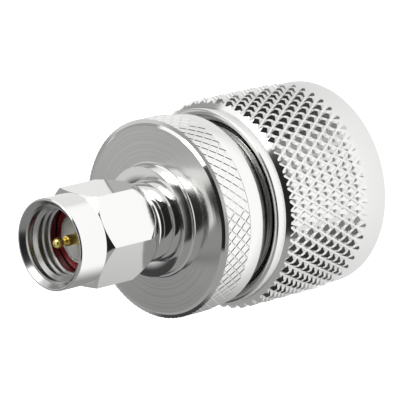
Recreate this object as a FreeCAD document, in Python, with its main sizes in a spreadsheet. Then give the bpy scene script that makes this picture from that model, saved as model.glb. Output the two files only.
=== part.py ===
import FreeCAD, Part
import math
import os
import Sketcher

# A coaxial adapter with a small hexagonal plug at the top and a large knurled plug at the bottom.
# Lengths are in millimetres. +Z runs along the axis, from the open rim of the large coupling nut,
# which the adapter stands on, towards the small plug.

doc = FreeCAD.newDocument("coaxial_adapter")

DRIVING_SIZES = {
    # Large coupling nut
    "uhf_nut_length": 13.35,
    "uhf_thread_diameter": 15.88,
    "uhf_thread_chamfer": 0.35,
    "uhf_front_wall": 1.26,
    "uhf_front_land_length": 2.6,
    "uhf_nut_edge_chamfer": 0.18,
    "uhf_knurl_rise": 0.19,
    "uhf_knurl_depth": 0.52,
    "uhf_knurl_count": 50,
    "uhf_knurl_angle": 30,
    "uhf_knurl_turn": 0.4,
    "uhf_rear_wall": 1.15,
    "uhf_rear_land_length": 1.05,
    "uhf_rear_cone_length": 0.65,
    "uhf_countersink_width": 0.75,
    "uhf_countersink_depth": 0.75,
    "uhf_bearing_length": 3.35,
    "uhf_bearing_step": 0.44,
    # Large nut's snap ring
    "uhf_ring_thickness": 0.8,
    "uhf_ring_width": 0.75,
    "uhf_ring_split": 1.6,
    "uhf_ring_setback": 1.35,
    "uhf_ring_bite": 0.4,
    "uhf_float": 0.5,
    # Body
    "shoulder_length": 1.7,
    "nut_to_band": 1.75,
    "band_rise": 1.075,
    "band_length": 1.58,
    "flange_rise": 0.185,
    "flange_length": 2.99,
    "flange_chamfer_length": 0.27,
    "flange_chamfer_width": 0.56,
    "hub_diameter": 9.68,
    "hub_length": 1.17,
    "shell_socket_depth": 4.1,
    "shell_socket_diameter": 5.84,
    "centre_bore_diameter": 4.2,
    "nose_length": 3.9,
    "nose_clearance": 0.1,
    "nose_bore_diameter": 10.0,
    "nose_wall": 0.85,
    "nose_bore_depth": 6.5,
    "nose_chamfer": 0.3,
    "nose_notch_count": 4,
    "nose_notch_width": 1.2,
    "nose_notch_depth": 0.8,
    # Small plug's shell
    "neck_diameter": 7.0,
    "neck_length": 1.76,
    "bearing_diameter": 5.56,
    "bearing_length": 4.95,
    "sleeve_diameter": 4.5,
    "sleeve_bore_diameter": 4.1,
    "sleeve_length": 1.1,
    # Small plug's gasket
    "gasket_diameter": 6.3,
    "gasket_thickness": 0.7,
    # Small coupling nut
    "across_flats": 8.0,
    "sma_nut_turn": 10.4,
    "collar_diameter": 7.96,
    "collar_length": 2.9,
    "front_cone_length": 0.45,
    "rear_cone_length": 1.9,
    "sma_nut_rear_diameter": 7.5,
    "sma_thread_diameter": 6.45,
    "sma_thread_depth": 4.9,
    "sma_seat_relief": 0.45,
    "sma_rim_opening_diameter": 7.56,
    "sma_rim_countersink_depth": 0.5,
    # Small nut's snap ring
    "sma_ring_thickness": 0.5,
    "sma_ring_width": 0.43,
    "sma_ring_split": 1.0,
    "sma_ring_setback": 2.55,
    "sma_ring_bite": 0.22,
    "sma_float": 0.3,
    # Small plug's centre pin
    "sma_pin_diameter": 0.93,
    "sma_pin_protrusion": 2.9,
    "sma_pin_dome_height": 0.36,
    "sma_pin_tip_diameter": 0.36,
    "sma_pin_head_length": 0.75,
    "sma_pin_waist_diameter": 0.54,
    "sma_pin_waist_length": 0.77,
    "sma_pin_shoulder_depth": 0.1,
    "sma_pin_shank_diameter": 1.27,
    "sma_pin_tail_diameter": 0.8,
    "sma_pin_tail_length": 2.6,
    "sma_dielectric_recess": 0.1,
    # Large plug's centre pin
    "uhf_pin_diameter": 3.96,
    "uhf_pin_recess": 0.4,
    "uhf_pin_tip_diameter": 2.5,
    "uhf_pin_tip_length": 1.2,
    "uhf_pin_stem_diameter": 2.6,
    "uhf_pin_stem_gap": 0.94,
    "uhf_pin_socket_depth": 3.0,
    "uhf_dielectric_recess": 2.2,
    # Clearances
    "running_clearance": 0.05,
    "seat_clearance": 0.02,
    "end_clearance": 0.05,
    "ring_side_clearance": 0.02,
    "ring_groove_relief": 0.05,
    "ring_spring_room": 0.05,
}

HEXAGON_SIDES = 6
KNURL_CORE_DEPTH = 0.3   # how far under the knurl's roots the plain core ends
KNURL_RING_DEPTH = 0.5   # how far under the roots the knurled ring reaches into the core
KNURL_LEDGE = 0.02       # how far under a plain land the teeth's ends start
KNURL_FRONT_SLOPE = 1.5  # how steeply the teeth's front ends are cut back, as length over height
CUTTER_ALLOWANCE = 0.05  # how far an outline stands off where flats or teeth set the real surface
SHOULDER_BREAK = (0.5, 0.22)   # shares of the shoulder's length and height, back from the band, where its
                               # two cones meet


class Size:
    """A length, angle or count, kept as a number and as the expression that gives it."""

    def __init__(self, value, expression):
        self.value = value
        self.expression = expression

    def __add__(self, other):
        other = as_size(other)
        return Size(self.value + other.value, f"({self.expression} + {other.expression})")

    def __sub__(self, other):
        other = as_size(other)
        return Size(self.value - other.value, f"({self.expression} - {other.expression})")

    def __mul__(self, other):
        other = as_size(other)
        return Size(self.value * other.value, f"({self.expression} * {other.expression})")

    def __truediv__(self, other):
        other = as_size(other)
        return Size(self.value / other.value, f"({self.expression} / {other.expression})")


def as_size(number):
    """Let a plain number stand in a sum of sizes."""
    if isinstance(number, Size):
        return number
    return Size(float(number), repr(float(number)))


def make_sheet():
    """Write the driving sizes to the spreadsheet, one aliased cell each."""
    sheet = doc.addObject("Spreadsheet::Sheet", "Sizes")
    for row, (alias, number) in enumerate(DRIVING_SIZES.items(), start=1):
        sheet.set(f"A{row}", alias)
        sheet.set(f"B{row}", str(number))
        sheet.setAlias(f"B{row}", alias)
    doc.recompute()
    return sheet


sizes = make_sheet()


def size(alias):
    """A driving size, by its name in the sheet."""
    return Size(float(sizes.get(alias)), f"Sizes.{alias}")


def radius(alias):
    """Half of a driving diameter."""
    return size(alias) / 2


ZERO = as_size(0)
RUNNING = size("running_clearance")
SEAT = size("seat_clearance")
END = size("end_clearance")
RING_SIDE = size("ring_side_clearance")

# Heights above the floor of the places where one piece seats on another.
BAND_HEIGHT = size("uhf_nut_length") + size("nut_to_band")
FLANGE_HEIGHT = BAND_HEIGHT + size("band_length")
FLANGE_FACE_HEIGHT = FLANGE_HEIGHT + size("flange_length")
HUB_FACE_HEIGHT = FLANGE_FACE_HEIGHT + size("hub_length")
SHELL_BASE_HEIGHT = HUB_FACE_HEIGHT - size("shell_socket_depth") + END * 2
NECK_TOP_HEIGHT = HUB_FACE_HEIGHT + size("neck_length")
SMA_NUT_HEIGHT = NECK_TOP_HEIGHT + END
SMA_SEAT_HEIGHT = NECK_TOP_HEIGHT + size("bearing_length")
SLEEVE_RIM_HEIGHT = SMA_SEAT_HEIGHT + size("sleeve_length")
DIELECTRIC_FACE_HEIGHT = SLEEVE_RIM_HEIGHT - size("sma_dielectric_recess")
NOSE_HEIGHT = (
    size("uhf_nut_length") - size("uhf_bearing_length") - size("nose_clearance") - size("nose_length")
)
NOSE_SEAT_HEIGHT = NOSE_HEIGHT + size("nose_bore_depth")
UHF_DIELECTRIC_HEIGHT = NOSE_HEIGHT + size("uhf_dielectric_recess")
UHF_STEM_TOP_HEIGHT = SHELL_BASE_HEIGHT - size("uhf_pin_stem_gap")
UHF_RING_HEIGHT = size("uhf_nut_length") - size("uhf_ring_setback") - size("uhf_ring_thickness")
SMA_RING_HEIGHT = SMA_NUT_HEIGHT + size("sma_ring_setback")

SPIGOT_RADIUS = radius("uhf_thread_diameter") - size("uhf_bearing_step")
BEARING_RADIUS = radius("bearing_diameter")
UHF_NUT_BORE_RADIUS = SPIGOT_RADIUS + RUNNING
SMA_NUT_BORE_RADIUS = BEARING_RADIUS + RUNNING
UHF_RING_OUTER_RADIUS = UHF_NUT_BORE_RADIUS + size("uhf_ring_bite")
UHF_RING_INNER_RADIUS = UHF_RING_OUTER_RADIUS - size("uhf_ring_width")
SMA_RING_OUTER_RADIUS = SMA_NUT_BORE_RADIUS + size("sma_ring_bite")
SMA_RING_INNER_RADIUS = SMA_RING_OUTER_RADIUS - size("sma_ring_width")


def origin_feature(body, role):
    """The origin plane or axis of a body that has the given role."""
    for feature in body.Origin.OriginFeatures:
        if feature.Role == role:
            return feature
    raise ValueError(f"{body.Name} has no {role}")


def new_body(name):
    """An empty body with its own label."""
    body = doc.addObject("PartDesign::Body", name)
    body.Label = name
    return body


def new_sketch(body, name, role):
    """A sketch on one of the body's own origin planes."""
    sketch = body.newObject("Sketcher::SketchObject", name)
    sketch.AttachmentSupport = (origin_feature(body, role), [""])
    sketch.MapMode = "FlatFace"
    return sketch


def pin_coordinate(sketch, line, direction, distance):
    """Hold one coordinate of a line's start at a size from the origin, or on the axis where it is zero."""
    if distance.expression == ZERO.expression:
        axis = -2 if direction == "DistanceX" else -1
        sketch.addConstraint(Sketcher.Constraint("PointOnObject", line, 1, axis))
        return
    held = sketch.addConstraint(Sketcher.Constraint(direction, -1, 1, line, 1, distance.value))
    sketch.setExpression(f"Constraints[{held}]", distance.expression)


def outline_sketch(body, name, role, corners):
    """A closed outline of straight lines from corner to corner, each given as (across, along)."""
    sketch = new_sketch(body, name, role)
    count = len(corners)
    for index, corner in enumerate(corners):
        following = corners[(index + 1) % count]
        start = FreeCAD.Vector(corner[0].value, corner[1].value, 0)
        end = FreeCAD.Vector(following[0].value, following[1].value, 0)
        sketch.addGeometry(Part.LineSegment(start, end), False)
    for index in range(count):
        sketch.addConstraint(Sketcher.Constraint("Coincident", index, 2, (index + 1) % count, 1))
    for index, corner in enumerate(corners):
        pin_coordinate(sketch, index, "DistanceX", corner[0])
        pin_coordinate(sketch, index, "DistanceY", corner[1])
    return sketch


def turned_body(name, corners):
    """A body turned from an outline about the Z axis."""
    body = new_body(name)
    sketch = outline_sketch(body, f"{name}_outline", "XZ_Plane", corners)
    turned = body.newObject("PartDesign::Revolution", f"{name}_turned")
    turned.Profile = sketch
    turned.ReferenceAxis = (sketch, ["V_Axis"])
    turned.Angle = 360
    doc.recompute()
    return body


def rectangle_cut(body, name, low, high, depth):
    """A pocket from the body's base upwards, over the rectangle between two corners."""
    corners = [(low[0], low[1]), (high[0], low[1]), (high[0], high[1]), (low[0], high[1])]
    sketch = outline_sketch(body, f"{name}_outline", "XY_Plane", corners)
    whole = body.Shape.Volume
    pocket = body.newObject("PartDesign::Pocket", name)
    pocket.Profile = sketch
    pocket.Type = "Length"
    pocket.Length = depth.value
    pocket.setExpression("Length", depth.expression)
    pocket.Reversed = True
    doc.recompute()
    if body.Shape.Volume >= whole:
        raise RuntimeError(f"{name} cuts nothing")
    return pocket


def repeat_round(body, name, feature, number):
    """Repeat a feature evenly round the Z axis."""
    before = body.Shape.Volume
    pattern = body.newObject("PartDesign::PolarPattern", name)
    pattern.Originals = [feature]
    pattern.Axis = (origin_feature(body, "Z_Axis"), [""])
    pattern.Angle = 360
    pattern.Occurrences = int(number.value)
    pattern.setExpression("Occurrences", number.expression)
    body.Tip = pattern
    doc.recompute()
    if body.Shape.Volume >= before:
        raise RuntimeError(f"{name} repeats nothing")
    return pattern


def stand_at(piece, height, turn=None):
    """Put a finished piece at its height, and turn it about the axis where it has flats."""
    if turn is not None:
        piece.Placement = FreeCAD.Placement(
            FreeCAD.Vector(0, 0, 0), FreeCAD.Rotation(FreeCAD.Vector(0, 0, 1), turn.value)
        )
        piece.setExpression("Placement.Rotation.Angle", turn.expression)
    piece.setExpression("Placement.Base.z", height.expression)
    return piece


def polar(distance, angle, height):
    """A point at a distance from the axis, an angle in degrees and a height."""
    return FreeCAD.Vector(
        distance * math.cos(math.radians(angle)), distance * math.sin(math.radians(angle)), height
    )


def knurled_rod(tip, root, count, helix_angle, first_height, last_height):
    """A solid rod whose surface is cut by two crossing sets of grooves, which leave pointed diamond teeth.
    Its rows of teeth start at first_height, where grooves cross at angle 0, and go on until they pass
    last_height. The lower half of the first row and the upper half of the last are left out."""
    half_pitch = 180 / count
    row = knurl_row(tip, root, count, helix_angle)
    rows = math.ceil((last_height - first_height) / row)
    facets = []
    for level in range(rows + 1):
        height = first_height + level * row
        rim = []
        for tooth in range(count):
            centre = half_pitch * (2 * tooth + 1 + level % 2)
            peak = polar(tip, centre, height)
            east, north, west, south = [
                polar(root, centre + half_pitch * across, height + row * along)
                for across, along in ((1, 0), (0, 1), (-1, 0), (0, -1))
            ]
            if level < rows:
                facets += [[east, north, peak], [north, west, peak]]
            if level > 0:
                facets += [[west, south, peak], [south, east, peak]]
            rim += [west, peak]
        if level in (0, rows):
            facets.append(rim)
    return closed_solid(facets)


def knurl_row(tip, root, count, helix_angle):
    """How far one row of teeth lies above the last."""
    return math.radians(180 / count) * (tip + root) / 2 / math.tan(math.radians(helix_angle))


def ring_envelope(corners, sides):
    """The ring swept by an outline given as (radius, height) numbers, with flat facets all round, so that
    the teeth's ends are cut along straight lines."""
    step = 360 / sides
    facets = []
    for side in range(sides):
        for index, (across, along) in enumerate(corners):
            next_across, next_along = corners[(index + 1) % len(corners)]
            facets.append([
                polar(across, side * step, along),
                polar(across, (side + 1) * step, along),
                polar(next_across, (side + 1) * step, next_along),
                polar(next_across, side * step, next_along),
            ])
    return closed_solid(facets)


def closed_solid(facets):
    """The solid inside a closed set of flat facets, each given by its corners."""
    shell = Part.Shell([Part.Face(Part.makePolygon(corners + corners[:1])) for corners in facets])
    shell.sewShape()
    solid = Part.Solid(shell)
    if solid.Volume < 0:
        solid.reverse()
    return solid


def knurled_ring(name, rod, envelope, turn):
    """The ring that the knurled rod leaves inside an envelope, turned about the axis."""
    shape = rod.common(envelope)
    shape.rotate(FreeCAD.Vector(0, 0, 0), FreeCAD.Vector(0, 0, 1), turn)
    ring = doc.addObject("Part::Feature", name)
    ring.Shape = shape
    ring.Label = name
    return ring


def fuse(name, base, tool):
    """A finished sub-part made of a turned core and its knurled ring."""
    joined = doc.addObject("Part::Fuse", name)
    joined.Base = base
    joined.Tool = tool
    joined.Label = name
    return joined


def uhf_coupling_nut():
    """The large nut: plain land, coarse diamond knurl with its ends cut back on cones, and a rear land.
    Inside are the thread's bore, the bearing that runs on the body's spigot and the snap ring's groove."""
    length = size("uhf_nut_length")
    thread = radius("uhf_thread_diameter")
    entry = size("uhf_thread_chamfer")
    land = thread + size("uhf_front_wall")
    land_end = size("uhf_front_land_length")
    edge = size("uhf_nut_edge_chamfer")
    tip = land + size("uhf_knurl_rise")
    root = tip - size("uhf_knurl_depth")
    core = root - KNURL_CORE_DEPTH
    rear_land = UHF_NUT_BORE_RADIUS + size("uhf_rear_wall")
    cone_end = length - size("uhf_rear_land_length")
    cone_start = cone_end - size("uhf_rear_cone_length")
    bearing_start = length - size("uhf_bearing_length")
    groove_low = UHF_RING_HEIGHT - RING_SIDE
    groove_high = UHF_RING_HEIGHT + size("uhf_ring_thickness") + RING_SIDE
    groove = UHF_RING_OUTER_RADIUS + size("ring_groove_relief")
    core_body = turned_body("uhf_nut_core", [
        (thread + entry, ZERO),
        (land - edge, ZERO),
        (land, edge),
        (land, land_end),
        (core, land_end),
        (core, cone_end),
        (rear_land, cone_end),
        (rear_land, length),
        (UHF_NUT_BORE_RADIUS + size("uhf_countersink_width"), length),
        (UHF_NUT_BORE_RADIUS, length - size("uhf_countersink_depth")),
        (UHF_NUT_BORE_RADIUS, groove_high),
        (groove, groove_high),
        (groove, groove_low),
        (UHF_NUT_BORE_RADIUS, groove_low),
        (UHF_NUT_BORE_RADIUS, bearing_start),
        (thread, bearing_start),
        (thread, entry),
    ])
    inner = root.value - KNURL_RING_DEPTH
    outer = tip.value + CUTTER_ALLOWANCE
    front = land.value - KNURL_LEDGE
    rear = rear_land.value - KNURL_LEDGE
    rear_slope = (cone_end.value - cone_start.value) / (tip.value - rear)
    count = int(sizes.get("uhf_knurl_count"))
    envelope = ring_envelope([
        (inner, land_end.value),
        (front, land_end.value),
        (outer, land_end.value + (outer - front) * KNURL_FRONT_SLOPE),
        (outer, cone_end.value - (outer - rear) * rear_slope),
        (rear, cone_end.value),
        (inner, cone_end.value),
    ], 2 * count)
    angle = float(sizes.get("uhf_knurl_angle"))
    row = knurl_row(tip.value, root.value, count, angle)
    rows_below = 2 * math.ceil((cone_end.value - land_end.value) / row / 2 + 1)
    rod = knurled_rod(
        tip.value, root.value, count, angle, cone_end.value - rows_below * row, cone_end.value + row
    )
    ring = knurled_ring("uhf_nut_knurl", rod, envelope, float(sizes.get("uhf_knurl_turn")))
    return stand_at(fuse("uhf_coupling_nut", core_body, ring), ZERO)


def uhf_snap_ring():
    """The split ring that holds the large nut on the body."""
    thickness = size("uhf_ring_thickness")
    return snap_ring(
        "uhf_snap_ring", UHF_RING_INNER_RADIUS, UHF_RING_OUTER_RADIUS, thickness, size("uhf_ring_split"),
        UHF_RING_HEIGHT,
    )


def sma_snap_ring():
    """The split ring that holds the small nut on its shell."""
    thickness = size("sma_ring_thickness")
    return snap_ring(
        "sma_snap_ring", SMA_RING_INNER_RADIUS, SMA_RING_OUTER_RADIUS, thickness, size("sma_ring_split"),
        SMA_RING_HEIGHT,
    )


def snap_ring(name, inner, outer, thickness, split, height):
    """A flat spring ring with a gap at its side."""
    body = turned_body(name, [(inner, ZERO), (outer, ZERO), (outer, thickness), (inner, thickness)])
    half = split / 2
    rectangle_cut(body, f"{name}_split", (ZERO, ZERO - half), (outer + outer, half), thickness)
    return stand_at(body, height)


def adapter_body():
    """The turned body. From the bottom: the notched nose round the large pin, the spigot that carries the
    large nut, the rounded shoulder, the smooth band, the flange and the hub."""
    base = NOSE_HEIGHT
    nose_bore = radius("nose_bore_diameter")
    nose = nose_bore + size("nose_wall")
    nose_chamfer = size("nose_chamfer")
    nose_end = size("nose_length")
    groove_low = UHF_RING_HEIGHT - size("uhf_float") - END - base
    groove_high = UHF_RING_HEIGHT + size("uhf_ring_thickness") + END - base
    groove = UHF_RING_INNER_RADIUS - size("ring_spring_room") - size("uhf_ring_bite")
    drop = size("band_rise")
    band = SPIGOT_RADIUS + drop
    band_low = BAND_HEIGHT - base
    shoulder = size("shoulder_length")
    flange_low = FLANGE_HEIGHT - base
    flange_high = FLANGE_FACE_HEIGHT - base
    flange = band + size("flange_rise")
    hub = radius("hub_diameter")
    hub_top = HUB_FACE_HEIGHT - base
    socket = radius("shell_socket_diameter")
    socket_floor = hub_top - size("shell_socket_depth")
    centre_bore = radius("centre_bore_diameter")
    nose_seat = NOSE_SEAT_HEIGHT - base
    body = turned_body("adapter_body", [
        (nose_bore, ZERO),
        (nose - nose_chamfer, ZERO),
        (nose, nose_chamfer),
        (nose, nose_end),
        (SPIGOT_RADIUS, nose_end),
        (SPIGOT_RADIUS, groove_low),
        (groove, groove_low),
        (groove, groove_high),
        (SPIGOT_RADIUS, groove_high),
        (SPIGOT_RADIUS, band_low - shoulder),
        (band - drop * SHOULDER_BREAK[1], band_low - shoulder * SHOULDER_BREAK[0]),
        (band, band_low),
        (band, flange_low),
        (flange, flange_low),
        (flange, flange_high - size("flange_chamfer_length")),
        (flange - size("flange_chamfer_width"), flange_high),
        (hub, flange_high),
        (hub, hub_top),
        (socket, hub_top),
        (socket, socket_floor),
        (centre_bore, socket_floor),
        (centre_bore, nose_seat),
        (nose_bore, nose_seat),
    ])
    notch_half = size("nose_notch_width") / 2
    notch = rectangle_cut(
        body, "nose_notch", (ZERO, ZERO - notch_half), (nose + nose_chamfer, notch_half),
        size("nose_notch_depth"),
    )
    repeat_round(body, "nose_notches", notch, size("nose_notch_count"))
    return stand_at(body, base)


def sma_shell():
    """The small plug's turned shell: spigot pressed in the body's socket, neck seated on the hub, bearing
    with the snap ring's groove, and the thin sleeve that makes the outer contact."""
    base = SHELL_BASE_HEIGHT
    bore = radius("sleeve_bore_diameter")
    spigot = radius("shell_socket_diameter") - SEAT
    neck = radius("neck_diameter")
    neck_low = HUB_FACE_HEIGHT - base
    neck_high = NECK_TOP_HEIGHT - base
    groove_low = SMA_RING_HEIGHT - END - base
    groove_high = SMA_RING_HEIGHT + size("sma_ring_thickness") + size("sma_float") + END - base
    groove = SMA_RING_INNER_RADIUS - size("ring_spring_room") - size("sma_ring_bite")
    seat = SMA_SEAT_HEIGHT - base
    sleeve = radius("sleeve_diameter")
    rim = SLEEVE_RIM_HEIGHT - base
    body = turned_body("sma_shell", [
        (bore, ZERO),
        (spigot, ZERO),
        (spigot, neck_low),
        (neck, neck_low),
        (neck, neck_high),
        (BEARING_RADIUS, neck_high),
        (BEARING_RADIUS, groove_low),
        (groove, groove_low),
        (groove, groove_high),
        (BEARING_RADIUS, groove_high),
        (BEARING_RADIUS, seat),
        (sleeve, seat),
        (sleeve, rim),
        (bore, rim),
    ])
    return stand_at(body, base)


def sma_gasket():
    """The soft ring round the sleeve, on the small plug's seat."""
    inner = radius("sleeve_diameter") + SEAT
    outer = radius("gasket_diameter")
    thickness = size("gasket_thickness")
    body = turned_body("sma_gasket", [(inner, ZERO), (outer, ZERO), (outer, thickness), (inner, thickness)])
    return stand_at(body, SMA_SEAT_HEIGHT)


def sma_insulator():
    """The small plug's dielectric, with the bore that holds its pin."""
    base = SHELL_BASE_HEIGHT
    outer = radius("sleeve_bore_diameter") - SEAT
    face = DIELECTRIC_FACE_HEIGHT - base
    shank = radius("sma_pin_shank_diameter") + SEAT
    body = turned_body("sma_insulator", [(shank, ZERO), (outer, ZERO), (outer, face), (shank, face)])
    return stand_at(body, base)


def sma_pin():
    """The small plug's centre pin: head with a coned tip, waist, plain length, shank in the dielectric and a
    tail that goes into the large pin's socket."""
    base = SHELL_BASE_HEIGHT - size("sma_pin_tail_length")
    tip_height = DIELECTRIC_FACE_HEIGHT + size("sma_pin_protrusion") - base
    pin = radius("sma_pin_diameter")
    waist = radius("sma_pin_waist_diameter")
    dome = size("sma_pin_dome_height")
    head_low = tip_height - size("sma_pin_head_length")
    waist_low = head_low - size("sma_pin_waist_length")
    shoulder = DIELECTRIC_FACE_HEIGHT - size("sma_pin_shoulder_depth") - base
    shank = radius("sma_pin_shank_diameter")
    tail = radius("sma_pin_tail_diameter")
    tail_high = size("sma_pin_tail_length")
    body = turned_body("sma_pin", [
        (ZERO, ZERO),
        (tail, ZERO),
        (tail, tail_high),
        (shank, tail_high),
        (shank, shoulder),
        (pin, shoulder),
        (pin, waist_low),
        (waist, waist_low),
        (pin, head_low),
        (pin, tip_height - dome),
        (radius("sma_pin_tip_diameter"), tip_height),
        (ZERO, tip_height),
    ])
    return stand_at(body, base)


def sma_coupling_nut():
    """The small nut: hexagon with a round collar in front and a cone behind, the thread's bore, the
    bearing that runs on the shell and the snap ring's groove."""
    thread_low = size("bearing_length") - END - size("sma_seat_relief")
    length = thread_low + size("sma_thread_depth")
    flat = radius("across_flats")
    corner = flat / math.cos(math.pi / HEXAGON_SIDES)
    stock = corner + CUTTER_ALLOWANCE
    collar = radius("collar_diameter")
    collar_low = length - size("collar_length")
    front_cone = size("front_cone_length") * (stock - collar) / (corner - collar)
    rear = radius("sma_nut_rear_diameter")
    rear_cone = size("rear_cone_length") * (stock - rear) / (corner - rear)
    opening = radius("sma_rim_opening_diameter")
    thread = radius("sma_thread_diameter")
    groove_low = size("sma_ring_setback") - RING_SIDE
    groove_high = size("sma_ring_setback") + size("sma_ring_thickness") + RING_SIDE
    groove = SMA_RING_OUTER_RADIUS + size("ring_groove_relief")
    body = turned_body("sma_coupling_nut", [
        (SMA_NUT_BORE_RADIUS, ZERO),
        (rear, ZERO),
        (stock, rear_cone),
        (stock, collar_low - front_cone),
        (collar, collar_low),
        (collar, length),
        (opening, length),
        (thread, length - size("sma_rim_countersink_depth")),
        (thread, thread_low),
        (SMA_NUT_BORE_RADIUS, thread_low),
        (SMA_NUT_BORE_RADIUS, groove_high),
        (groove, groove_high),
        (groove, groove_low),
        (SMA_NUT_BORE_RADIUS, groove_low),
    ])
    flat_cut = rectangle_cut(
        body, "wrench_flat", (flat, ZERO - stock), (stock + stock, stock), length
    )
    repeat_round(body, "wrench_flats", flat_cut, as_size(HEXAGON_SIDES))
    return stand_at(body, SMA_NUT_HEIGHT, size("sma_nut_turn"))


def uhf_insulator():
    """The large plug's dielectric: a disc in the nose and a tail through the body's centre bore."""
    base = UHF_DIELECTRIC_HEIGHT
    disc = radius("nose_bore_diameter") - SEAT
    disc_high = NOSE_SEAT_HEIGHT - base
    tail = radius("centre_bore_diameter") - SEAT
    top = SHELL_BASE_HEIGHT - END * 2 - base
    stem = radius("uhf_pin_stem_diameter") + SEAT
    body = turned_body("uhf_insulator", [
        (stem, ZERO),
        (disc, ZERO),
        (disc, disc_high),
        (tail, disc_high),
        (tail, top),
        (stem, top),
    ])
    return stand_at(body, base)


def uhf_pin():
    """The large plug's centre pin: coned tip, shoulder seated on the dielectric, and a stem whose socket
    takes the small pin's tail."""
    base = size("uhf_pin_recess")
    pin = radius("uhf_pin_diameter")
    tip = radius("uhf_pin_tip_diameter")
    tip_end = size("uhf_pin_tip_length")
    shoulder = UHF_DIELECTRIC_HEIGHT - base
    stem = radius("uhf_pin_stem_diameter")
    top = UHF_STEM_TOP_HEIGHT - base
    socket = radius("sma_pin_tail_diameter") + SEAT
    body = turned_body("uhf_pin", [
        (ZERO, ZERO),
        (tip, ZERO),
        (pin, tip_end),
        (pin, shoulder),
        (stem, shoulder),
        (stem, top),
        (socket, top),
        (socket, top - size("uhf_pin_socket_depth")),
        (ZERO, top - size("uhf_pin_socket_depth")),
    ])
    return stand_at(body, base)


SUBPARTS = [
    uhf_coupling_nut(),
    uhf_snap_ring(),
    adapter_body(),
    uhf_insulator(),
    uhf_pin(),
    sma_shell(),
    sma_snap_ring(),
    sma_gasket(),
    sma_insulator(),
    sma_pin(),
    sma_coupling_nut(),
]


def check_document():
    """Stop unless every object was recomputed without a fault and every sub-part is one valid solid."""
    doc.recompute()
    for item in doc.Objects:
        if "Invalid" in item.State or "Error" in item.State:
            raise RuntimeError(f"{item.Label}: {item.State}")
    for piece in SUBPARTS:
        if piece.Shape.isNull() or not piece.Shape.isValid():
            raise RuntimeError(f"{piece.Label} has no valid shape")
        if len(piece.Shape.Solids) != 1:
            raise RuntimeError(f"{piece.Label} has {len(piece.Shape.Solids)} solids")


def write_parts():
    """Write each sub-part to its own file."""
    os.makedirs("parts", exist_ok=True)
    for piece in SUBPARTS:
        piece.Shape.exportStep(f"parts/{piece.Label}.step")


check_document()
write_parts()
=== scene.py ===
"""Dresses the coaxial adapter: turned and knurled pieces, threads, plating, gold, silicone and light."""

import math

import bmesh
import bpy
from bpy.props import FloatProperty, FloatVectorProperty, IntProperty, PointerProperty
from mathutils import Matrix, Vector


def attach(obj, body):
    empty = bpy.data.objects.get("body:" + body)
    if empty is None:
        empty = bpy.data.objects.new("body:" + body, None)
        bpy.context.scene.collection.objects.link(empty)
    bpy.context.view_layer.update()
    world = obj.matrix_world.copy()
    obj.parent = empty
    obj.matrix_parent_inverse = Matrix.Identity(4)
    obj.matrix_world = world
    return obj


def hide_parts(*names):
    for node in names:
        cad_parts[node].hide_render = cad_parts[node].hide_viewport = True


bl_info = {
    "name": "Coaxial adapter looks",
    "version": (1, 0, 0),
    "blender": (4, 5, 0),
    "location": "View3D > Sidebar > Adapter",
    "description": "Builds the adapter's finished pieces, materials, light and camera",
    "category": "Object",
}

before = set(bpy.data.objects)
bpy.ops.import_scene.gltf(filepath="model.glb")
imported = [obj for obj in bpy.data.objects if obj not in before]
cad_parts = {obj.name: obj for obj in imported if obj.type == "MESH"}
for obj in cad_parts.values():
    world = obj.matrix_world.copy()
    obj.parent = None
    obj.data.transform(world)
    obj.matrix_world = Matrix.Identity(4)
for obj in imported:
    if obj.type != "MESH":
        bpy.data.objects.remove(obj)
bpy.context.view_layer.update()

MM = 0.001
FULL_TURN = 2 * math.pi
MERGE_DISTANCE = 0.0005 * MM
SHARP_ANGLE = math.radians(24)

# Steps round each turned piece and round one turn of a thread
LARGE_NUT_STEPS = 200
BODY_STEPS = 224
PLUG_STEPS = 96
SMALL_NUT_STEPS = 180
THREAD_STEPS = 72

# Rows of cells that a knurl has past its ends before it is cut, and how many of them are above it
SPARE_ROWS = 3
SPARE_ROWS_ABOVE = 2


# Sizes and colours

def length(name, millimetres, description):
    """A size that the user sees in scene units."""
    return FloatProperty(
        name=name, description=description, default=millimetres * MM, min=0.0, unit="LENGTH",
        subtype="DISTANCE", precision=5,
    )


def colour(name, default, description):
    """A base colour."""
    return FloatVectorProperty(
        name=name, description=description, default=default, size=3, min=0.0, max=1.0, subtype="COLOR"
    )


def share(name, default, description):
    """A value from nothing to all."""
    return FloatProperty(
        name=name, description=description, default=default, min=0.0, max=1.0, subtype="FACTOR"
    )


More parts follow.
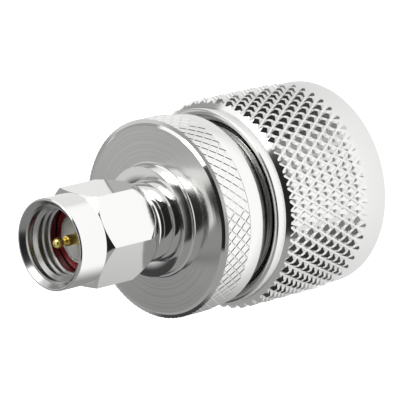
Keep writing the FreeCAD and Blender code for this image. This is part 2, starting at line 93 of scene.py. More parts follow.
class AdapterSizes(bpy.types.PropertyGroup):
    """Sizes of the detail that the looks add to the solids."""

    coarse_count: IntProperty(name="Coarse knurl teeth", description="Teeth round the large nut", default=50)
    coarse_angle: FloatProperty(
        name="Coarse knurl angle", description="Angle of its grooves to the axis",
        default=math.radians(30), subtype="ANGLE", unit="ROTATION",
    )
    coarse_tip: length("Coarse knurl tips", 9.39, "Radius over the large nut's teeth")
    coarse_root: length("Coarse knurl roots", 9.02, "Radius of its groove floors")
    coarse_groove: length("Coarse groove floor", 0.075, "Half width of the flat groove floor")
    coarse_top: length("Coarse tooth top", 0.15, "Half width of the flat on a tooth")
    fine_count: IntProperty(name="Fine knurl teeth", description="Teeth round the flange", default=56)
    fine_angle: FloatProperty(
        name="Fine knurl angle", description="Angle of its grooves to the axis",
        default=math.radians(40), subtype="ANGLE", unit="ROTATION",
    )
    fine_tip: length("Fine knurl tips", 8.76, "Radius over the flange's teeth")
    fine_root: length("Fine knurl roots", 8.715, "Radius of its groove floors")
    fine_groove: length("Fine groove floor", 0.035, "Half width of the flat groove floor")
    fine_flank: length("Fine groove flank", 0.055, "Width of a flank seen from outside")
    edge_ease: length("Edge easing", 0.04, "Rounding of the turned edges")
    small_pitch: length("Small thread pitch", 0.7056, "Rise of the small nut's thread in a turn")
    small_minor: length("Small thread minor radius", 2.86, "Radius inside the small nut's thread")
    large_pitch: length("Large thread pitch", 1.0583, "Rise of the large nut's thread in a turn")
    large_minor: length("Large thread minor radius", 7.42, "Radius inside the large nut's thread")


class AdapterFinishes(bpy.types.PropertyGroup):
    """Colours and polish of the adapter's finishes."""

    nickel: colour("Nickel", (0.80, 0.80, 0.79), "Bright nickel plating")
    # Nickel darkened with painted shade, for the small nut's bore and thread
    bore_shade_nickel: colour("Dull nickel", (0.48, 0.48, 0.475), "Thin plating down in the small nut's bore")
    nickel_roughness: share("Nickel roughness", 0.07, "How soft its reflections are")
    gold: colour("Gold", (1.0, 0.80, 0.26), "Gold plating of the pins")
    silicone: colour("Silicone", (0.40, 0.008, 0.014), "Dark red gasket")
    dielectric: colour("Dielectric", (0.80, 0.79, 0.76), "Off-white dielectric")
    spring: colour("Spring metal", (0.55, 0.53, 0.50), "Plain wire of the snap rings")


def sizes():
    """The sizes in use."""
    return bpy.context.scene.adapter_sizes


def finishes():
    """The finishes in use."""
    return bpy.context.scene.adapter_finishes


# Mesh tools

def turned(points, steps, start=0.0):
    """A solid of revolution about the Z axis, from a closed outline of (radius, height) points in
    millimetres. An edge that lies on the axis is left out."""
    mesh = bmesh.new()
    corners = [mesh.verts.new((across * MM, 0.0, along * MM)) for across, along in points]
    for here, there in zip(corners, corners[1:] + corners[:1]):
        mesh.edges.new((here, there))
    central = [
        edge for edge in mesh.edges if all(abs(corner.co.x) < MERGE_DISTANCE for corner in edge.verts)
    ]
    if central:
        bmesh.ops.delete(mesh, geom=central, context="EDGES")
    bmesh.ops.rotate(
        mesh, verts=mesh.verts[:], cent=(0, 0, 0), matrix=Matrix.Rotation(start, 3, "Z")
    )
    bmesh.ops.spin(
        mesh, geom=mesh.verts[:] + mesh.edges[:], cent=(0, 0, 0), axis=(0, 0, 1), dvec=(0, 0, 0),
        angle=FULL_TURN, steps=steps, use_merge=True,
    )
    bmesh.ops.remove_doubles(mesh, verts=mesh.verts[:], dist=MERGE_DISTANCE)
    bmesh.ops.recalc_face_normals(mesh, faces=mesh.faces[:])
    return mesh


def ease_edges(mesh, width, angle=SHARP_ANGLE):
    """Round every edge sharper than an angle."""
    sharp = [
        edge for edge in mesh.edges
        if len(edge.link_faces) == 2 and edge.calc_face_angle(0.0) > angle
    ]
    bmesh.ops.bevel(
        mesh, geom=sharp, offset=width, offset_type="OFFSET", affect="EDGES", segments=2, profile=0.5,
        material=-1, clamp_overlap=True,
    )


def finished(mesh, name):
    """An object from a mesh, smooth apart from its sharp edges."""
    for face in mesh.faces:
        face.smooth = True
    for edge in mesh.edges:
        edge.smooth = len(edge.link_faces) == 2 and edge.calc_face_angle(0.0) < SHARP_ANGLE
    data = bpy.data.meshes.new(name)
    mesh.to_mesh(data)
    mesh.free()
    piece = bpy.data.objects.new(name, data)
    bpy.context.scene.collection.objects.link(piece)
    return piece


def combined(base, tool, operation):
    """The mesh of one shape joined with, cut by or kept inside another. Both are used up."""
    holders = [finished(mesh, "shape") for mesh in (base, tool)]
    cutter = holders[0].modifiers.new("combine", "BOOLEAN")
    cutter.operation = operation
    cutter.solver = "MANIFOLD"
    cutter.object = holders[1]
    shown = holders[0].evaluated_get(bpy.context.evaluated_depsgraph_get())
    result = bmesh.new()
    result.from_mesh(shown.to_mesh())
    shown.to_mesh_clear()
    for holder in holders:
        data = holder.data
        bpy.data.objects.remove(holder)
        bpy.data.meshes.remove(data)
    if not result.faces:
        raise RuntimeError(f"{operation} left nothing")
    return result


def place(piece, body, node, slot, *finishes_used):
    """Give a finished piece its body and its materials, and hide the node it stands for; the slot is not
    used.
    """
    for finish in finishes_used:
        piece.data.materials.append(bpy.data.materials[finish])
    shading = piece.modifiers.new("shading", "WEIGHTED_NORMAL")
    shading.keep_sharp = True
    shading.weight = 100
    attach(piece, body)
    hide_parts(node)


def diamond_rod(root, count, angle, low, high, phase):
    """A rod covered with diamond cells, from below low to above high, before its teeth are raised. Grooves
    cross at the angle phase on a row at the height high."""
    half = math.pi / count
    row = half * root / math.tan(angle)
    mesh = bmesh.new()
    rows = math.ceil((high - low) / row) + SPARE_ROWS
    for level in range(rows):
        centre = phase + half * (1 + level % 2)
        height = high + row * (SPARE_ROWS_ABOVE - level)
        corners = []
        for side, rise in ((-1, 0), (0, -row), (1, 0), (0, row)):
            turn = centre + side * half
            corners.append(Vector((root * math.cos(turn), root * math.sin(turn), height + rise)))
        cell = mesh.faces.new([mesh.verts.new(corner) for corner in corners])
        bmesh.ops.spin(
            mesh, geom=[cell] + cell.edges[:] + cell.verts[:], cent=(0, 0, 0), axis=(0, 0, 1),
            dvec=(0, 0, 0), angle=FULL_TURN - FULL_TURN / count, steps=count - 1, use_duplicate=True,
        )
    bmesh.ops.remove_doubles(mesh, verts=mesh.verts[:], dist=MERGE_DISTANCE)
    return mesh


def cut_level(mesh, height, keep_above):
    """Cut a shell at a height and keep one side."""
    bmesh.ops.bisect_plane(
        mesh, geom=mesh.verts[:] + mesh.edges[:] + mesh.faces[:], dist=MERGE_DISTANCE,
        plane_co=(0, 0, height), plane_no=(0, 0, -1 if keep_above else 1), clear_outer=True,
    )


def close_ends(mesh):
    """Fill the flat open ends of a shell and turn its faces outwards."""
    open_edges = [edge for edge in mesh.edges if edge.is_boundary]
    bmesh.ops.holes_fill(mesh, edges=open_edges, sides=0)
    bmesh.ops.recalc_face_normals(mesh, faces=mesh.faces[:])
    return mesh


def raised_knurl(count, angle, root, tip, groove, flank, low, high, phase=0.0):
    """A rod with flat ends at two heights in millimetres, covered with raised diamond teeth."""
    rod = diamond_rod(root, count, angle, low * MM, high * MM, phase)
    cells = rod.faces[:]
    bmesh.ops.inset_individual(rod, faces=cells, thickness=groove, use_even_offset=True)
    bmesh.ops.inset_individual(
        rod, faces=cells, thickness=flank, depth=tip - root, use_even_offset=True
    )
    cut_level(rod, low * MM, True)
    cut_level(rod, high * MM, False)
    return close_ends(rod)


def thread_ridge(thread, minor, pitch):
    """The ridge of an inside thread, as a closed solid that goes a little into its wall."""
    outer, low, turns = thread[0] * MM, thread[1] * MM, thread[2]
    half_base = pitch * THREAD_BASE_SHARE / 2
    half_crest = pitch * THREAD_CREST_SHARE / 2
    mesh = bmesh.new()
    corners = [
        mesh.verts.new(point)
        for point in (
            (outer, 0, low - half_base), (minor, 0, low - half_crest),
            (minor, 0, low + half_crest), (outer, 0, low + half_base),
        )
    ]
    start = mesh.faces.new(corners)
    edges = start.edges[:]
    spun = bmesh.ops.spin(
        mesh, geom=edges + corners, cent=(0, 0, 0), axis=(0, 0, 1), dvec=(0, 0, pitch / THREAD_STEPS),
        angle=FULL_TURN * turns, steps=round(THREAD_STEPS * turns),
    )
    last = [item for item in spun["geom_last"] if isinstance(item, bmesh.types.BMEdge)]
    bmesh.ops.contextual_create(mesh, geom=last)
    bmesh.ops.recalc_face_normals(mesh, faces=mesh.faces[:])
    return mesh


# Outlines of the turned pieces, as (radius, height) in millimetres

LARGE_NUT = [
    (8.29, 0.0), (9.02, 0.0), (9.2, 0.18), (9.2, 2.52), (9.2, 2.6), (9.02, 3.6), (8.5, 3.6),
    (8.5, 12.3), (8.7, 12.3), (8.7, 13.25), (8.6, 13.35), (8.3, 13.35), (7.55, 12.6), (7.55, 12.02),
    (8.0, 12.02), (8.0, 11.18), (7.55, 11.18), (7.55, 10.0), (7.94, 10.0), (7.94, 0.35),
]
LARGE_NUT_TURN = math.radians(0.4)
LARGE_KNURL_LOW, LARGE_KNURL_HIGH = 2.6, 12.3
LARGE_KNURL_ENVELOPE = [(8.3, 2.6), (9.6, 2.6), (9.6, 11.4522), (8.7, 12.3), (8.3, 12.3)]

BODY = [
    (5.0, 6.0), (5.55, 6.0), (5.85, 6.3), (5.85, 9.9), (7.45, 9.9), (7.5, 9.95), (7.5, 10.65),
    (6.75, 10.65), (6.75, 12.05), (7.5, 12.05), (7.5, 13.4), (7.66, 13.62), (7.86, 13.88),
    (8.05, 14.12), (8.21, 14.37), (8.35, 14.62), (8.46, 14.86), (8.54, 15.0), (8.575, 15.1),
    (8.575, 16.54), (8.42, 16.57), (8.42, 16.68), (8.2, 16.68), (8.2, 19.67), (5.09, 19.67),
    (4.99, 19.69), (4.91, 19.745), (4.86, 19.83), (4.84, 19.92), (4.84, 20.84), (2.92, 20.84),
    (2.92, 16.74), (2.1, 16.74), (2.1, 12.5), (5.0, 12.5),
]
GRIP_LOW, GRIP_HIGH = 16.68, 19.67
GRIP_ENVELOPE = [
    (8.0, 16.68), (8.68, 16.68), (9.0, 17.0), (9.0, 19.30), (8.42, 19.45), (8.2, 19.67), (8.0, 19.67),
]
NOSE_RIM = 6.0
NOTCHES = 4
# One cutter makes two opposite notches: its length, width and height
NOTCH_CUT = (14.0, 1.2, 1.6)

# Faces of the body with a finish of their own: the flange's flat side, by how far a face looks up and how
# near it is, and the rounded shoulder, by its heights and how far a face looks down
FLAT_SIDE_LOOKS_UP = 0.99
FLAT_SIDE_REACH = 10 * MERGE_DISTANCE
SHOULDER_LOW, SHOULDER_HIGH = 13.3, 15.1
SHOULDER_LOOKS_UP = -0.02

SHELL = [
    (2.05, 16.84), (2.90, 16.84), (2.90, 20.84), (3.5, 20.84), (3.5, 22.60), (2.78, 22.60),
    (2.78, 25.15), (2.35, 25.15), (2.35, 26.05), (2.78, 26.05), (2.78, 27.55), (2.25, 27.55),
    (2.25, 28.65), (2.05, 28.65),
]
GASKET = [(2.27, 27.55), (3.15, 27.55), (3.15, 28.25), (2.27, 28.25)]
SMALL_DIELECTRIC = [(0.655, 16.84), (2.03, 16.84), (2.03, 28.55), (0.655, 28.55)]
SMALL_NUT = [
    (2.83, 22.65), (3.75, 22.65), (4.68, 24.683), (4.68, 28.607), (3.98, 29.1), (3.98, 31.9),
    (3.9, 32.0), (3.78, 32.0), (3.42, 31.55), (3.225, 31.5), (3.225, 27.1), (2.83, 27.1), (2.83, 25.72),
    (3.10, 25.72), (3.10, 25.18), (2.83, 25.18),
]
# The bore's faces have a finish of their own: nickel darkened with painted shade. They lie within this radius
# and above this height.
SMALL_BORE_REACH = 3.7
SMALL_BORE_LOW = 27.2
HEXAGON_SIDES = 6
HEXAGON_REACH = 4.0
HEXAGON_TURN = math.radians(10.4)
HEXAGON_EASE_ANGLE = math.radians(14)

SMALL_PIN = [
    (0.0, 14.24), (0.4, 14.24), (0.4, 16.84), (0.635, 16.84), (0.635, 28.45), (0.465, 28.45),
    (0.465, 30.07), (0.25, 30.07), (0.25, 30.3), (0.465, 30.70), (0.465, 30.99), (0.449, 31.11),
    (0.403, 31.22), (0.33, 31.32), (0.233, 31.39), (0.12, 31.435), (0.0, 31.45),
]
LARGE_PIN = [
    (0.0, 0.4), (1.1, 0.4), (1.42, 0.55), (1.68, 0.86), (1.86, 1.28), (1.95, 1.6), (1.98, 1.9),
    (1.98, 8.2), (1.3, 8.2), (1.3, 15.9), (0.42, 15.9), (0.42, 12.9), (0.0, 12.9),
]

# Threads: the radius that a ridge reaches in its wall and the height where it starts, in millimetres, and its
# turns; then the shares of the pitch that its crest and its base take
LARGE_THREAD = (8.0, 0.9, 8.0)
SMALL_THREAD = (3.27, 28.95, 2.8)
THREAD_CREST_SHARE = 0.14
THREAD_BASE_SHARE = 0.8


# Materials

# How far noise spreads the roughness, how dark it makes the colour and how deep the marks are
PLATED_SPREAD = 0.08
PLATED_DARKEST = 0.965
PLAIN_SPREAD = 0.06
PLAIN_DARKEST = 0.9
RELIEF_DEPTH = 0.02 * MM


def node(tree, kind, **settings):
    """A new node with its settings; names of inputs take plain values."""
    made = tree.nodes.new(kind)
    for key, value in settings.items():
        if hasattr(made, key):
            setattr(made, key, value)
        else:
            made.inputs[key].default_value = value
    return made


def new_group(name, inputs, outputs):
    """An empty shader group with float inputs and outputs."""
    tree = bpy.data.node_groups.new(name, "ShaderNodeTree")
    for label, default in inputs:
        socket = tree.interface.new_socket(name=label, in_out="INPUT", socket_type="NodeSocketFloat")
        socket.default_value = default
    for label, kind in outputs:
        tree.interface.new_socket(name=label, in_out="OUTPUT", socket_type=kind)
    return tree, tree.nodes.new("NodeGroupInput"), tree.nodes.new("NodeGroupOutput")


def calculate(tree, operation, *values):
    """The result of one operation on values and numbers."""
    made = node(tree, "ShaderNodeMath", operation=operation)
    for socket, value in zip(made.inputs, values):
        if isinstance(value, (int, float)):
            socket.default_value = value
        else:
            tree.links.new(value, socket)
    return made.outputs[0]


def soft_step(tree, value, low, high, start, end):
    """A smooth change of a value from one level to another."""
    step = node(tree, "ShaderNodeMapRange", interpolation_type="SMOOTHSTEP")
    tree.links.new(value, step.inputs["Value"])
    for label, number in (("From Min", low), ("From Max", high), ("To Min", start), ("To Max", end)):
        step.inputs[label].default_value = number
    return step.outputs["Result"]


def turning_marks():
    """Fine rings left by the lathe: a height and a roughness that change along the radius and the axis."""
    tree, given, out = new_group(
        "turning_marks",
        [("Rings per Metre", 9000.0), ("Roughness", 0.15), ("Spread", 0.05)],
        [("Height", "NodeSocketFloat"), ("Roughness", "NodeSocketFloat")],
    )
    link = tree.links.new
    where = node(tree, "ShaderNodeTexCoord")
    split = node(tree, "ShaderNodeSeparateXYZ")
    link(where.outputs["Object"], split.inputs[0])
    squares = [
        calculate(tree, "MULTIPLY", split.outputs[axis], split.outputs[axis]) for axis in ("X", "Y")
    ]
    radius = calculate(tree, "SQRT", calculate(tree, "ADD", *squares))
    ring = node(tree, "ShaderNodeCombineXYZ")
    link(radius, ring.inputs["X"])
    link(split.outputs["Z"], ring.inputs["Z"])
    marks = node(tree, "ShaderNodeTexNoise", noise_dimensions="3D", Detail=3.0)
    link(ring.outputs[0], marks.inputs["Vector"])
    link(given.outputs["Rings per Metre"], marks.inputs["Scale"])
    link(marks.outputs["Fac"], out.inputs["Height"])
    cloud = node(tree, "ShaderNodeTexNoise", noise_dimensions="3D", Scale=420.0, Detail=4.0)
    link(where.outputs["Object"], cloud.inputs["Vector"])
    shift = calculate(tree, "SUBTRACT", cloud.outputs["Fac"], 0.5)
    varied = calculate(
        tree, "MULTIPLY_ADD", shift, given.outputs["Spread"], given.outputs["Roughness"]
    )
    link(varied, out.inputs["Roughness"])
    return tree


def new_material(name):
    """The tree and the shader of a new material."""
    material = bpy.data.materials.new(name)
    material.use_nodes = True
    return material.node_tree, material.node_tree.nodes["Principled BSDF"]


def mottled(tree, shader, base, darkest, scale, detail):
    """A cloud of noise that darkens a shader's base colour down to a share of it."""
    cloud = node(tree, "ShaderNodeTexNoise", Scale=scale, Detail=detail)
    where = node(tree, "ShaderNodeTexCoord")
    tree.links.new(where.outputs["Object"], cloud.inputs["Vector"])
    mix = node(tree, "ShaderNodeMix", data_type="RGBA")
    mix.inputs["A"].default_value = (*[darkest * part for part in base], 1.0)
    mix.inputs["B"].default_value = (*base, 1.0)
    tree.links.new(cloud.outputs["Fac"], mix.inputs["Factor"])
    tree.links.new(mix.outputs["Result"], shader.inputs["Base Color"])
    return cloud.outputs["Fac"]


def embossed(tree, shader, height, strength):
    """Let a height tilt a shader's normal."""
    relief = node(tree, "ShaderNodeBump", Strength=strength, Distance=RELIEF_DEPTH)
    tree.links.new(height, relief.inputs["Height"])
    tree.links.new(relief.outputs["Normal"], shader.inputs["Normal"])


def plated(name, base, marks, roughness, bump, anisotropy=0.0, rings=9000.0):
    """A bright plated metal with turning marks."""
    tree, shader = new_material(name)
    shader.inputs["Metallic"].default_value = 1.0
    lathe = node(tree, "ShaderNodeGroup")
    lathe.node_tree = marks
    lathe.inputs["Rings per Metre"].default_value = rings
    lathe.inputs["Roughness"].default_value = roughness
    lathe.inputs["Spread"].default_value = PLATED_SPREAD
    tree.links.new(lathe.outputs["Roughness"], shader.inputs["Roughness"])
    mottled(tree, shader, base, PLATED_DARKEST, scale=260.0, detail=3.0)
    embossed(tree, shader, lathe.outputs["Height"], bump)
    if anisotropy:
        shader.inputs["Anisotropic"].default_value = anisotropy
        round_axis = node(tree, "ShaderNodeTangent", direction_type="RADIAL", axis="Z")
        tree.links.new(round_axis.outputs["Tangent"], shader.inputs["Tangent"])


def plain(name, base, roughness, grain, bump):
    """A soft or moulded finish with a fine grain."""
    tree, shader = new_material(name)
    speckle = mottled(tree, shader, base, PLAIN_DARKEST, scale=grain, detail=4.0)
    spread = node(tree, "ShaderNodeMapRange")
    spread.inputs["To Min"].default_value = roughness - PLAIN_SPREAD
    spread.inputs["To Max"].default_value = roughness + PLAIN_SPREAD
    tree.links.new(speckle, spread.inputs["Value"])
    tree.links.new(spread.outputs["Result"], shader.inputs["Roughness"])
    embossed(tree, shader, speckle, bump)


class ADAPTER_OT_finishes(bpy.types.Operator):
    """Build the materials and give the kept solids theirs"""

    bl_idname = "adapter.finishes"
    bl_label = "Finishes"

    def execute(self, context):
        looks = finishes()
        marks = turning_marks()
        nickel, polish = looks.nickel, looks.nickel_roughness
        plated("nickel_turned", nickel, marks, roughness=polish, bump=0.012)
        plated("nickel_faced", nickel, marks, roughness=0.15, bump=0.16, anisotropy=0.9, rings=4600.0)
        plated("nickel_bored", nickel, marks, roughness=0.24, bump=0.08)
        # The small nut's bore and thread: darker nickel, the darkness being painted shade
        plated("nickel_threaded", looks.bore_shade_nickel, marks, roughness=0.22, bump=0.35, rings=4000.0)
        plated("nickel_knurled", nickel, marks, roughness=0.14, bump=0.01)
        plated("nickel_milled", nickel, marks, roughness=polish, bump=0.01)
        plated("gold_plating", looks.gold, marks, roughness=0.27, bump=0.02)
        plain("red_silicone", looks.silicone, roughness=0.38, grain=1800.0, bump=0.25)
        plain("pale_dielectric", looks.dielectric, roughness=0.42, grain=900.0, bump=0.15)
        plated("spring_wire", looks.spring, marks, roughness=0.3, bump=0.2, rings=6000.0)
        kept = {
            "uhf_snap_ring": "spring_wire",
            "sma_snap_ring": "spring_wire",
            "uhf_insulator": "pale_dielectric",
        }
        for name, finish in kept.items():
            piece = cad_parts[name]
            if not piece.data.materials:
                piece.data.materials.append(None)
            for index in range(len(piece.data.materials)):
                piece.data.materials[index] = bpy.data.materials[finish]
        return {"FINISHED"}


class ADAPTER_OT_large_nut(bpy.types.Operator):
    """Build the large coupling nut with its coarse diamond knurl and inside thread"""

    bl_idname = "adapter.large_nut"
    bl_label = "Large nut"

    def execute(self, context):
        given = sizes()
        half_cell = math.pi / given.coarse_count * given.coarse_root
        flank = half_cell * math.cos(given.coarse_angle) - given.coarse_groove - given.coarse_top
        knurl = raised_knurl(
            given.coarse_count, given.coarse_angle, given.coarse_root, given.coarse_tip,
            given.coarse_groove, flank, LARGE_KNURL_LOW, LARGE_KNURL_HIGH, LARGE_NUT_TURN,
        )
        envelope = turned(LARGE_KNURL_ENVELOPE, LARGE_NUT_STEPS, LARGE_NUT_TURN)
        knurl = combined(knurl, envelope, "INTERSECT")
        core = turned(LARGE_NUT, LARGE_NUT_STEPS, LARGE_NUT_TURN)
        ease_edges(core, given.edge_ease)
        nut = combined(core, knurl, "UNION")
        nut = combined(nut, thread_ridge(LARGE_THREAD, given.large_minor, given.large_pitch), "UNION")
        piece = finished(nut, "large_coupling_nut")
        place(piece, "uhf_nut", "uhf_coupling_nut", "nickel", "nickel_knurled")
        return {"FINISHED"}


class ADAPTER_OT_body(bpy.types.Operator):
    """Build the body with its finely knurled flange, hub and notched nose"""

    bl_idname = "adapter.body"
    bl_label = "Body"

    def execute(self, context):
        given = sizes()
        knurl = raised_knurl(
            given.fine_count, given.fine_angle, given.fine_root, given.fine_tip, given.fine_groove,
            given.fine_flank, GRIP_LOW, GRIP_HIGH,
        )
        knurl = combined(knurl, turned(GRIP_ENVELOPE, BODY_STEPS), "INTERSECT")
        core = turned(BODY, BODY_STEPS)
        ease_edges(core, given.edge_ease)
        body = combined(core, knurl, "UNION")
        for notch in range(NOTCHES // 2):
            cutter = bmesh.new()
            bmesh.ops.create_cube(cutter, size=1.0)
            bmesh.ops.scale(cutter, verts=cutter.verts[:], vec=[side * MM for side in NOTCH_CUT])
            bmesh.ops.rotate(
                cutter, verts=cutter.verts[:], cent=(0, 0, 0),
                matrix=Matrix.Rotation(notch * FULL_TURN / NOTCHES, 3, "Z"),
            )
            bmesh.ops.translate(cutter, verts=cutter.verts[:], vec=(0, 0, NOSE_RIM * MM))
            body = combined(body, cutter, "DIFFERENCE")
        piece = finished(body, "knurled_body")
        place(
            piece, "adapter", "adapter_body", "nickel", "nickel_turned", "nickel_faced", "nickel_bored"
        )
        for face in piece.data.polygons:
            height, upwards = face.center.z, face.normal.z
            if upwards > FLAT_SIDE_LOOKS_UP and abs(height - GRIP_HIGH * MM) < FLAT_SIDE_REACH:
                face.material_index = 1
            if SHOULDER_LOW * MM < height < SHOULDER_HIGH * MM and upwards < SHOULDER_LOOKS_UP:
                face.material_index = 2
        return {"FINISHED"}


class ADAPTER_OT_small_plug(bpy.types.Operator):
    """Build the small plug's shell, gasket, dielectric and pin"""

    bl_idname = "adapter.small_plug"
    bl_label = "Small plug"

    def execute(self, context):
        # Name, outline, easing in millimetres, node, slot and finish
        rows = (
            ("plug_shell", SHELL, 0.03, "sma_shell", "nickel", "nickel_turned"),
            ("red_gasket", GASKET, 0.12, "sma_gasket", "silicone", "red_silicone"),
            ("plug_dielectric", SMALL_DIELECTRIC, 0.03, "sma_insulator", "dielectric", "pale_dielectric"),
            ("small_pin", SMALL_PIN, 0.015, "sma_pin", "gold", "gold_plating"),
            ("large_pin", LARGE_PIN, 0.03, "uhf_pin", "gold", "gold_plating"),
        )
        for name, outline, ease, cad, slot, finish in rows:
            mesh = turned(outline, PLUG_STEPS)
            ease_edges(mesh, ease * MM)
            place(finished(mesh, name), "adapter", cad, slot, finish)
        return {"FINISHED"}


class ADAPTER_OT_small_nut(bpy.types.Operator):
    """Build the hexagonal nut with its inside thread"""

    bl_idname = "adapter.small_nut"
    bl_label = "Small nut"

    def execute(self, context):
        given = sizes()
        mesh = turned(SMALL_NUT, SMALL_NUT_STEPS)
        for side in range(HEXAGON_SIDES):
            angle = HEXAGON_TURN + side * FULL_TURN / HEXAGON_SIDES
            outward = Vector((math.cos(angle), math.sin(angle), 0))
            cut = bmesh.ops.bisect_plane(
                mesh, geom=mesh.verts[:] + mesh.edges[:] + mesh.faces[:], dist=MERGE_DISTANCE,
                plane_co=outward * HEXAGON_REACH * MM, plane_no=outward, clear_outer=True,
            )
            rim = [item for item in cut["geom_cut"] if isinstance(item, bmesh.types.BMEdge)]
            bmesh.ops.contextual_create(mesh, geom=rim)
        bmesh.ops.recalc_face_normals(mesh, faces=mesh.faces[:])
        ease_edges(mesh, given.edge_ease, HEXAGON_EASE_ANGLE)
        ridge = thread_ridge(SMALL_THREAD, given.small_minor, given.small_pitch)
        piece = finished(combined(mesh, ridge, "UNION"), "hexagon_nut")
        place(piece, "sma_nut", "sma_coupling_nut", "nickel", "nickel_milled", "nickel_threaded")
        # Faces down the bore take the nickel darkened with painted shade
        for face in piece.data.polygons:
            if face.center.xy.length < SMALL_BORE_REACH * MM and face.center.z > SMALL_BORE_LOW * MM:
                face.material_index = 1
        return {"FINISHED"}


# Light, floor and camera

CAMERA_PLACE = (0.2276, 0.00066, 0.2277)
CAMERA_RIGHT = (0.666, -0.234, -0.709)
CAMERA_UP = (0.160, 0.972, -0.170)
LENS = 321.3
SENSOR_WIDTH = 36.0
NEAREST, FARTHEST = 0.01, 20.0

LAMP_PLACE = (0.12, 0.35, 0.35)
LAMP_AIM = (0, 0, 0.015)
LAMP_WIDTH = 0.3
LAMP_POWER = 0.6

# The studio that the metal mirrors. A step runs between the first two numbers, which are parts of a
# direction, or metres for the floor. Two more numbers are the levels before and after it.
PANEL_ASIDE = (0.34, 0.42)
PANEL_ACROSS = (-0.42, -0.3)
PANEL_LEVEL = 0.8
WALL_ACROSS = (-0.62, -0.5, 1.0, 0.0)
WALL_UP = (0.4, 0.5)
WALL_GRADING = (-0.13, 0.13, -0.34, 0.34)
ROOM_LEVEL = 0.40
TOP_UP = (0.92, 0.98)
BELOW_UP = (-0.34, -0.12, 0.84, 0.0)
HIGH_OPENING = ((0.34, 0.42), (0.92, 0.96), (0.52, 0.62))
LOW_OPENING = ((-0.24, -0.16), (0.12, 0.18), (0.70, 0.80))
OPENING_DEPTH = 0.95

FLOOR_RADIUS = 0.08
FLOOR_STEPS = 96
FLOOR_COLOUR = (0.9, 0.9, 0.9, 1.0)
FLOOR_GLOW = 0.8
FLOOR_ALONG_X = (-0.022, 0.022, 0.34, 1.22)
FLOOR_ALONG_Y = (0.006, 0.018, 0.3, 0.95)


def dark_opening(tree, up, ahead, foot, head, side):
    """How much is taken away by an opening on the camera's side, with its three soft borders."""
    tall = calculate(
        tree, "MULTIPLY", soft_step(tree, up, *foot, 0.0, 1.0), soft_step(tree, up, *head, 1.0, 0.0)
    )
    return calculate(tree, "MULTIPLY", tall, soft_step(tree, ahead, *side, 0.0, OPENING_DEPTH))


def studio_world():
    """A grey room round the object: bright on the +Y side, overhead and below, with a graded wall high up
    behind and two dark openings on the camera's side. The camera itself sees plain white."""
    world = bpy.data.worlds.new("studio")
    bpy.context.scene.world = world
    world.use_nodes = True
    tree = world.node_tree
    back = tree.nodes["Background"]
    where = node(tree, "ShaderNodeTexCoord")
    split = node(tree, "ShaderNodeSeparateXYZ")
    tree.links.new(where.outputs["Generated"], split.inputs[0])
    across, aside, up = (split.outputs[axis] for axis in ("X", "Y", "Z"))
    panel = calculate(
        tree, "MULTIPLY", soft_step(tree, aside, *PANEL_ASIDE, 0.0, 1.0),
        soft_step(tree, across, *PANEL_ACROSS, 0.0, 1.0),
    )
    behind = calculate(
        tree, "MULTIPLY", soft_step(tree, across, *WALL_ACROSS), soft_step(tree, up, *WALL_UP, 0.0, 1.0)
    )
    wall = calculate(tree, "MULTIPLY_ADD", soft_step(tree, aside, *WALL_GRADING), behind, ROOM_LEVEL)
    level = calculate(tree, "MULTIPLY_ADD", panel, PANEL_LEVEL, wall)
    level = calculate(tree, "MAXIMUM", level, soft_step(tree, up, *TOP_UP, 0.0, 1.0))
    level = calculate(tree, "MAXIMUM", level, soft_step(tree, up, *BELOW_UP))
    upright = calculate(tree, "MULTIPLY", up, up)
    sideways = calculate(tree, "SQRT", calculate(tree, "SUBTRACT", 1.0, upright))
    ahead = calculate(tree, "DIVIDE", across, sideways)
    taken = calculate(
        tree, "MAXIMUM", dark_opening(tree, up, ahead, *HIGH_OPENING),
        dark_opening(tree, up, ahead, *LOW_OPENING),
    )
    level = calculate(tree, "MULTIPLY", level, calculate(tree, "SUBTRACT", 1.0, taken))
    ray = node(tree, "ShaderNodeLightPath")
    level = calculate(tree, "MAXIMUM", level, ray.outputs["Is Camera Ray"])
    tree.links.new(level, back.inputs["Strength"])
    back.inputs["Color"].default_value = (1, 1, 1, 1)


def floor_material():
    """A white floor that keeps the shadow. Metal mirrors it brighter towards its +X and +Y sides."""
    material = bpy.data.materials.new("pale_floor")
    material.use_nodes = True
    tree = material.node_tree
    tree.nodes.remove(tree.nodes["Principled BSDF"])
    out = tree.nodes["Material Output"]
    diffuse = node(tree, "ShaderNodeBsdfDiffuse", Color=FLOOR_COLOUR)
    ray = node(tree, "ShaderNodeLightPath")
    glow = node(tree, "ShaderNodeEmission")
    seen = calculate(tree, "MAXIMUM", ray.outputs["Is Camera Ray"], ray.outputs["Is Transmission Ray"])
    tree.links.new(calculate(tree, "MULTIPLY", seen, FLOOR_GLOW), glow.inputs["Strength"])
    lit = node(tree, "ShaderNodeAddShader")
    tree.links.new(diffuse.outputs[0], lit.inputs[0])
    tree.links.new(glow.outputs[0], lit.inputs[1])
    where = node(tree, "ShaderNodeTexCoord")
    split = node(tree, "ShaderNodeSeparateXYZ")
    tree.links.new(where.outputs["Object"], split.inputs[0])
    mirrored = node(tree, "ShaderNodeEmission")
    brighter = calculate(
        tree, "MAXIMUM", soft_step(tree, split.outputs["X"], *FLOOR_ALONG_X),
        soft_step(tree, split.outputs["Y"], *FLOOR_ALONG_Y),
    )
    tree.links.new(brighter, mirrored.inputs["Strength"])
    both = node(tree, "ShaderNodeMixShader")
    tree.links.new(ray.outputs["Is Glossy Ray"], both.inputs[0])
    tree.links.new(lit.outputs[0], both.inputs[1])
    tree.links.new(mirrored.outputs[0], both.inputs[2])
    tree.links.new(both.outputs[0], out.inputs["Surface"])
    return material


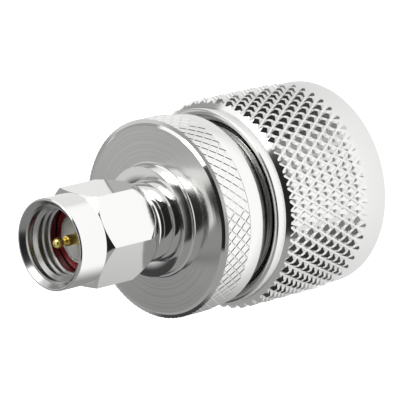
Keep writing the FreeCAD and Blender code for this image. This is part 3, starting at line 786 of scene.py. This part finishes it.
class ADAPTER_OT_stage(bpy.types.Operator):
    """Set the floor, the light and the camera"""

    bl_idname = "adapter.stage"
    bl_label = "Stage"

    def execute(self, context):
        mesh = bmesh.new()
        bmesh.ops.create_circle(mesh, cap_ends=True, segments=FLOOR_STEPS, radius=FLOOR_RADIUS)
        floor = finished(mesh, "floor")
        floor.data.materials.append(floor_material())
        studio_world()
        lamp = bpy.data.lights.new("softbox", "AREA")
        lamp.shape = "DISK"
        lamp.size = LAMP_WIDTH
        lamp.energy = LAMP_POWER
        holder = bpy.data.objects.new("softbox", lamp)
        holder.location = LAMP_PLACE
        aim = Vector(LAMP_AIM) - holder.location
        holder.rotation_euler = aim.to_track_quat("-Z", "Y").to_euler()
        context.scene.collection.objects.link(holder)
        camera = bpy.data.cameras.new("camera")
        camera.lens = LENS
        camera.sensor_width = SENSOR_WIDTH
        camera.clip_start = NEAREST
        camera.clip_end = FARTHEST
        viewer = bpy.data.objects.new("camera", camera)
        right = Vector(CAMERA_RIGHT).normalized()
        back = right.cross(Vector(CAMERA_UP)).normalized()
        up = back.cross(right)
        turn = Matrix((right, up, back)).transposed().to_4x4()
        viewer.matrix_world = Matrix.Translation(CAMERA_PLACE) @ turn
        context.scene.collection.objects.link(viewer)
        context.scene.camera = viewer
        context.scene.view_settings.view_transform = "Standard"
        return {"FINISHED"}


class ADAPTER_PT_panel(bpy.types.Panel):
    """The adapter's sizes, finishes and steps"""

    bl_idname = "ADAPTER_PT_panel"
    bl_label = "Coaxial adapter"
    bl_space_type = "VIEW_3D"
    bl_region_type = "UI"
    bl_category = "Adapter"

    def draw(self, context):
        for group in (context.scene.adapter_sizes, context.scene.adapter_finishes):
            for key in group.__annotations__:
                self.layout.prop(group, key)
        for step in STEPS:
            self.layout.operator(step.bl_idname)


STEPS = (
    ADAPTER_OT_finishes,
    ADAPTER_OT_large_nut,
    ADAPTER_OT_body,
    ADAPTER_OT_small_plug,
    ADAPTER_OT_small_nut,
    ADAPTER_OT_stage,
)
GROUPS = (AdapterSizes, AdapterFinishes)


def register():
    """Make the groups, steps and panel known."""
    for kind in GROUPS + STEPS + (ADAPTER_PT_panel,):
        bpy.utils.register_class(kind)
    bpy.types.Scene.adapter_sizes = PointerProperty(type=AdapterSizes)
    bpy.types.Scene.adapter_finishes = PointerProperty(type=AdapterFinishes)


def unregister():
    """Take them out again."""
    del bpy.types.Scene.adapter_finishes
    del bpy.types.Scene.adapter_sizes
    for kind in reversed(GROUPS + STEPS + (ADAPTER_PT_panel,)):
        bpy.utils.unregister_class(kind)


def main():
    """Build everything."""
    register()
    bpy.ops.adapter.finishes()
    bpy.ops.adapter.large_nut()
    bpy.ops.adapter.body()
    bpy.ops.adapter.small_plug()
    bpy.ops.adapter.small_nut()
    bpy.ops.adapter.stage()


if __name__ == "__main__":
    main()
